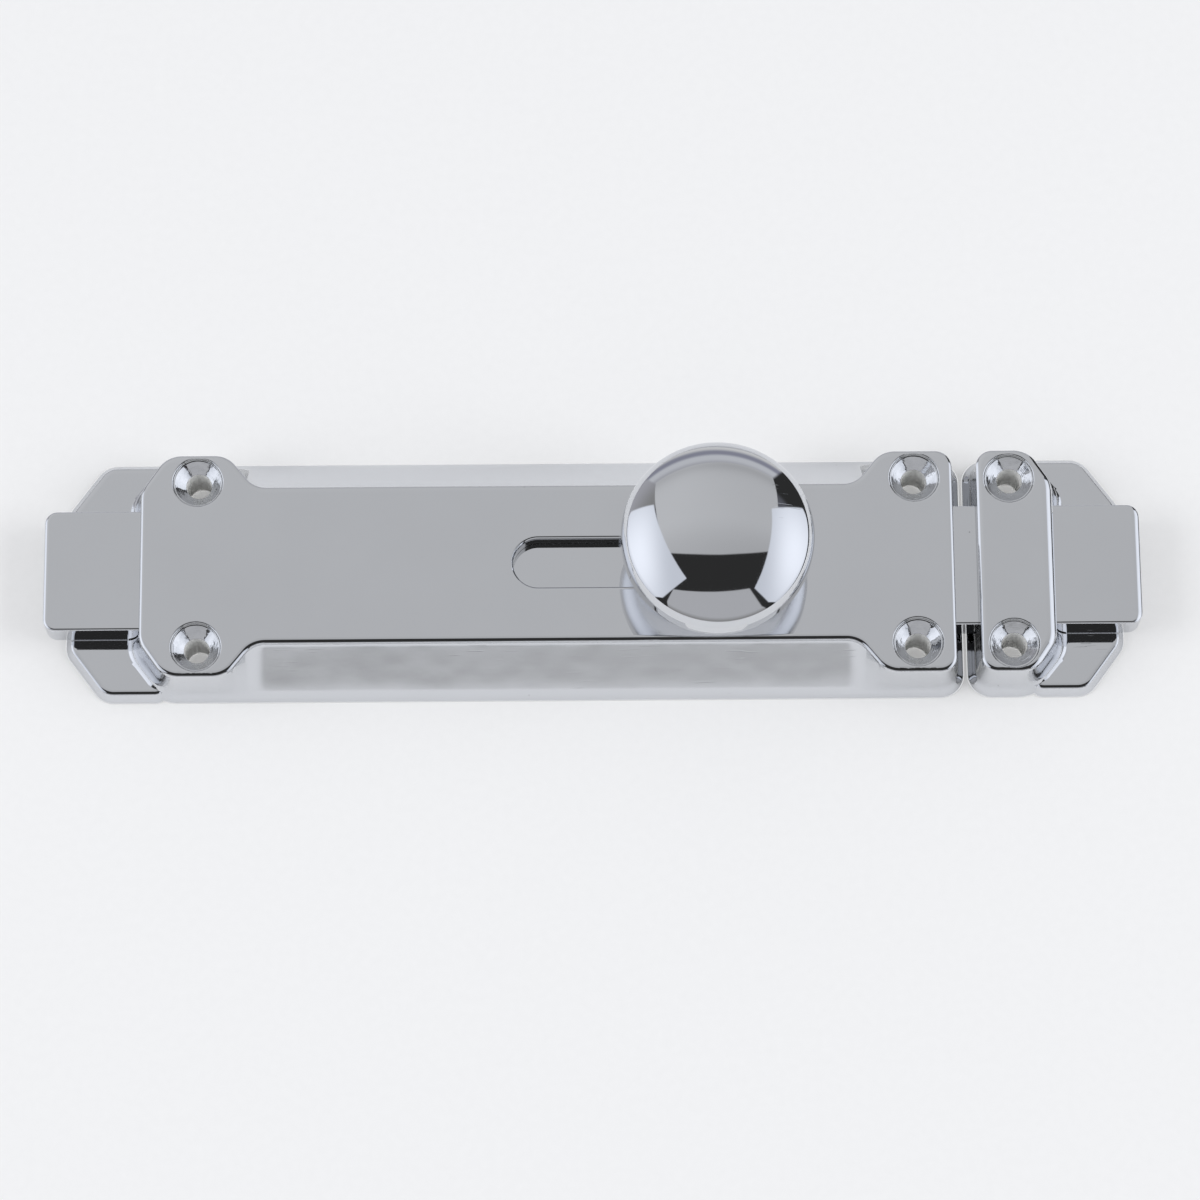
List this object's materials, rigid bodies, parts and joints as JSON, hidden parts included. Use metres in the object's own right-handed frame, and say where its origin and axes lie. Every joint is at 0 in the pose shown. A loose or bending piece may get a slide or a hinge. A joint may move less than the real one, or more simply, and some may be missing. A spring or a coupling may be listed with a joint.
{
  "type": "surface door bolt",
  "caption": "Chrome surface door bolt: flat bar sliding through a cast case by a round knob, into a matching keeper.",
  "frame": {"origin": "centre of the case's four fixing holes, on the face that lies on the door", "axes": "+X along the bar from the case towards the keeper, +Y across the bar, +Z out of the door, on the knob's side"},
  "size_m": [0.199, 0.0454, 0.0364],
  "materials": {
    "chrome_casting": "polished chrome plate on a die casting, mirror bright, with small pits and hairline scratches",
    "chrome_bar": "polished chrome plate on a flat bar, mirror bright, lightly rubbed along its length",
    "chrome_knob": "polished chrome plate, mirror bright",
    "plated_steel": "bright zinc-plated sheet steel, satin",
    "spring_steel": "blued spring steel, satin",
    "screw_steel": "bright zinc-plated steel"
  },
  "bodies": {
    "case": {"case": "chrome_casting", "back_plate": "plated_steel", "back_plate_screw_1": "screw_steel", "back_plate_screw_2": "screw_steel", "back_plate_screw_3": "screw_steel", "back_plate_screw_4": "screw_steel", "friction_spring": "spring_steel", "spring_rivet_1": "screw_steel", "spring_rivet_2": "screw_steel"},
    "bolt": {"bolt_bar": "chrome_bar", "knob": "chrome_knob", "knob_screw": "screw_steel"},
    "keeper": {"keeper": "chrome_casting"}
  },
  "joints": [
    {"name": "bolt_slide", "type": "slide", "parent": "case", "child": "bolt", "axis": [-1, 0, 0], "range_m": [0, 0.032]},
    {"name": "keeper_slide", "type": "slide", "parent": "case", "child": "keeper", "axis": [1, 0, 0], "range_m": [0, 0.04]}
  ]
}
